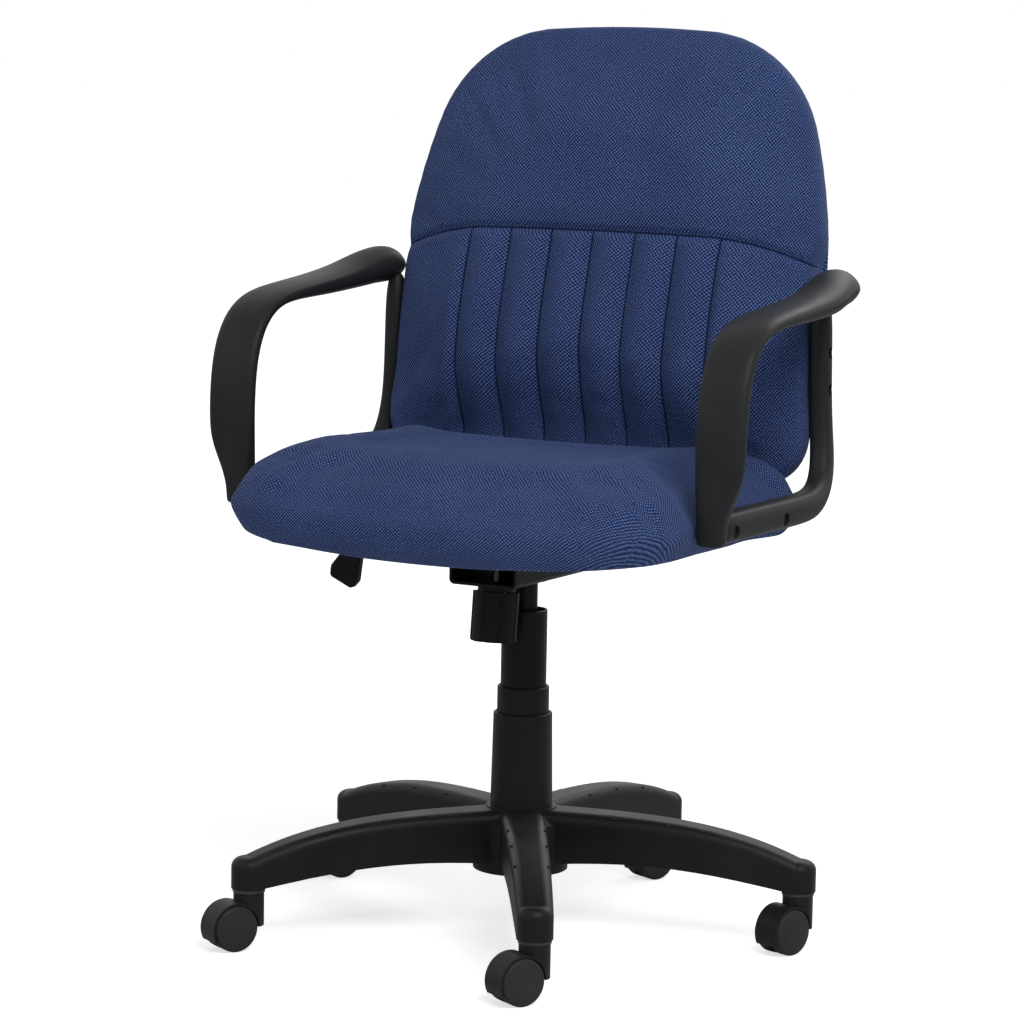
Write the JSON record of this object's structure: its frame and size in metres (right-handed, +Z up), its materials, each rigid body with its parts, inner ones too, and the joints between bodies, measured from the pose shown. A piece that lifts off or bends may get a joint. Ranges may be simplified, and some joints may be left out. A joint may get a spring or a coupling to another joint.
{
  "type": "swivel office chair",
  "caption": "Swivel office chair with a channelled fabric back, padded seat, loop arms, gas column, tilt mechanism and a star base on twin-wheel casters.",
  "frame": {"origin": "on the floor under the axis of the gas column, where the wheels stand", "axes": "+Z up along the column; the chair faces -Y; +X is the sitter's left"},
  "size_m": [0.6526, 0.6423, 0.9841],
  "materials": {
    "base_nylon": "satin black glass-filled nylon",
    "caster_hood_plastic": "satin dark grey plastic",
    "caster_wheel_plastic": "matt dark blue-grey plastic",
    "zinc_steel": "zinc-plated steel",
    "black_steel": "satin black powder coat",
    "bright_steel": "ground and polished steel",
    "guide_plastic": "dark acetal",
    "stop_rubber": "moulded rubber",
    "lever_steel": "black-finished steel rod",
    "control_plastic": "moulded black plastic with a fine grain",
    "plywood": "bare birch plywood",
    "dust_cloth": "black non-woven cloth",
    "blue_fabric": "blue woven upholstery over foam",
    "arm_plastic": "charcoal moulded polymer, satin with a fine grain"
  },
  "bodies": {
    "base": {"star_base": "base_nylon", "caster_stems": "zinc_steel", "column_tube": "black_steel", "guide_bush": "guide_plastic", "lower_race": "bright_steel", "cover_lower": "base_nylon"},
    "cover_stage": {"cover_middle": "base_nylon"},
    "rod": {"piston_rod": "bright_steel", "upper_race": "bright_steel", "bearing_balls": "bright_steel", "rod_clip": "zinc_steel", "bump_stop": "stop_rubber"},
    "lift": {"gas_cylinder": "black_steel", "swivel_housing": "black_steel", "tilt_pin": "zinc_steel", "tension_spring": "bright_steel"},
    "valve": {"valve_pin": "bright_steel"},
    "lever_pivot": {"lever_bush": "guide_plastic"},
    "lever": {"lever_rod": "lever_steel", "lever_paddle": "control_plastic"},
    "tension": {"tension_bolt": "zinc_steel", "spring_washer": "zinc_steel"},
    "knob": {"tension_knob": "control_plastic"},
    "seat": {"tilt_plate": "black_steel", "plate_bolts": "zinc_steel", "tee_nuts": "zinc_steel", "seat_board": "plywood", "seat_rails": "plywood", "dust_cover": "dust_cloth", "seat_cushion": "blue_fabric", "arm_left": "arm_plastic", "arm_right": "arm_plastic", "arm_seat_bolts": "zinc_steel", "arm_back_bolts": "zinc_steel", "back_board": "plywood", "back_rails": "plywood", "back_cushion": "blue_fabric", "back_shell": "blue_fabric"},
    "caster_1": {"caster_1_hood": "caster_hood_plastic", "caster_1_axle": "zinc_steel"},
    "caster_1_left": {"caster_1_wheel_left": "caster_wheel_plastic"},
    "caster_1_right": {"caster_1_wheel_right": "caster_wheel_plastic"},
    "caster_2": {"caster_2_hood": "caster_hood_plastic", "caster_2_axle": "zinc_steel"},
    "caster_2_left": {"caster_2_wheel_left": "caster_wheel_plastic"},
    "caster_2_right": {"caster_2_wheel_right": "caster_wheel_plastic"},
    "caster_3": {"caster_3_hood": "caster_hood_plastic", "caster_3_axle": "zinc_steel"},
    "caster_3_left": {"caster_3_wheel_left": "caster_wheel_plastic"},
    "caster_3_right": {"caster_3_wheel_right": "caster_wheel_plastic"},
    "caster_4": {"caster_4_hood": "caster_hood_plastic", "caster_4_axle": "zinc_steel"},
    "caster_4_left": {"caster_4_wheel_left": "caster_wheel_plastic"},
    "caster_4_right": {"caster_4_wheel_right": "caster_wheel_plastic"},
    "caster_5": {"caster_5_hood": "caster_hood_plastic", "caster_5_axle": "zinc_steel"},
    "caster_5_left": {"caster_5_wheel_left": "caster_wheel_plastic"},
    "caster_5_right": {"caster_5_wheel_right": "caster_wheel_plastic"}
  },
  "joints": [
    {"name": "cover_slide", "type": "slide", "parent": "base", "child": "cover_stage", "axis": [0, 0, 1], "range_m": [-0.028, 0.045]},
    {"name": "swivel", "type": "hinge", "parent": "base", "child": "rod", "pos_m": [0, 0, 0.1], "axis": [0, 0, 1], "continuous": true},
    {"name": "height", "type": "slide", "parent": "rod", "child": "lift", "axis": [0, 0, 1], "range_m": [-0.03, 0.07]},
    {"name": "tilt", "type": "hinge", "parent": "lift", "child": "seat", "pos_m": [0, -0.034, 0.414], "axis": [-1, 0, 0], "range_deg": [0, 12], "stiffness_Nm_per_rad": 150, "springref_deg": -14.32},
    {"name": "tension_slide", "type": "slide", "parent": "lift", "child": "tension", "axis": [0, 0.1045, 0.9945], "range_m": [0, 0.0056], "deforming": ["tension_spring"]},
    {"name": "knob_turn", "type": "hinge", "parent": "tension", "child": "knob", "pos_m": [0, -0.06, 0.414], "axis": [0, 0.1045, 0.9945], "range_deg": [-720, 720]},
    {"name": "lever_rock", "type": "hinge", "parent": "lift", "child": "lever_pivot", "pos_m": [-0.0395, 0, 0.4178], "axis": [0, 1, 0], "range_deg": [0, 6], "stiffness_Nm_per_rad": 6, "springref_deg": -3.44},
    {"name": "lever_pull", "type": "slide", "parent": "lever_pivot", "child": "lever", "axis": [-1, 0, 0], "range_m": [0, 0.012]},
    {"name": "valve_press", "type": "slide", "parent": "lift", "child": "valve", "axis": [0, 0, 1], "range_m": [-0.0043, 0]},
    {"name": "caster_1_swivel", "type": "hinge", "parent": "base", "child": "caster_1", "pos_m": [0.16428, -0.26289, 0.05], "axis": [0, 0, 1], "continuous": true},
    {"name": "caster_1_left_spin", "type": "hinge", "parent": "caster_1", "child": "caster_1_left", "pos_m": [0.15395, -0.28232, 0.025], "axis": [0.8829, -0.4695, 0], "continuous": true},
    {"name": "caster_1_right_spin", "type": "hinge", "parent": "caster_1", "child": "caster_1_right", "pos_m": [0.15395, -0.28232, 0.025], "axis": [0.8829, -0.4695, 0], "continuous": true},
    {"name": "caster_2_swivel", "type": "hinge", "parent": "base", "child": "caster_2", "pos_m": [0.30079, 0.075, 0.05], "axis": [0, 0, 1], "continuous": true},
    {"name": "caster_2_left_spin", "type": "hinge", "parent": "caster_2", "child": "caster_2_left", "pos_m": [0.29399, 0.05407, 0.025], "axis": [0.9511, -0.309, 0], "continuous": true},
    {"name": "caster_2_right_spin", "type": "hinge", "parent": "caster_2", "child": "caster_2_right", "pos_m": [0.29399, 0.05407, 0.025], "axis": [0.9511, -0.309, 0], "continuous": true},
    {"name": "caster_3_swivel", "type": "hinge", "parent": "base", "child": "caster_3", "pos_m": [0.02162, 0.30924, 0.05], "axis": [0, 0, 1], "continuous": true},
    {"name": "caster_3_left_spin", "type": "hinge", "parent": "caster_3", "child": "caster_3_left", "pos_m": [0.01233, 0.28931, 0.025], "axis": [0.9063, -0.4226, 0], "continuous": true},
    {"name": "caster_3_right_spin", "type": "hinge", "parent": "caster_3", "child": "caster_3_right", "pos_m": [0.01233, 0.28931, 0.025], "axis": [0.9063, -0.4226, 0], "continuous": true},
    {"name": "caster_4_swivel", "type": "hinge", "parent": "base", "child": "caster_4", "pos_m": [-0.28743, 0.11613, 0.05], "axis": [0, 0, 1], "continuous": true},
    {"name": "caster_4_left_spin", "type": "hinge", "parent": "caster_4", "child": "caster_4_left", "pos_m": [-0.29673, 0.09619, 0.025], "axis": [0.9063, -0.4226, 0], "continuous": true},
    {"name": "caster_4_right_spin", "type": "hinge", "parent": "caster_4", "child": "caster_4_right", "pos_m": [-0.29673, 0.09619, 0.025], "axis": [0.9063, -0.4226, 0], "continuous": true},
    {"name": "caster_5_swivel", "type": "hinge", "parent": "base", "child": "caster_5", "pos_m": [-0.19926, -0.23747, 0.05], "axis": [0, 0, 1], "continuous": true},
    {"name": "caster_5_left_spin", "type": "hinge", "parent": "caster_5", "child": "caster_5_left", "pos_m": [-0.20959, -0.2569, 0.025], "axis": [0.8829, -0.4695, 0], "continuous": true},
    {"name": "caster_5_right_spin", "type": "hinge", "parent": "caster_5", "child": "caster_5_right", "pos_m": [-0.20959, -0.2569, 0.025], "axis": [0.8829, -0.4695, 0], "continuous": true}
  ],
  "couplings": [
    {"joint": "tension_slide", "follows": "tilt", "m_per_rad": 0.025953},
    {"joint": "valve_press", "follows": "lever_rock", "m_per_rad": -0.0395}
  ]
}
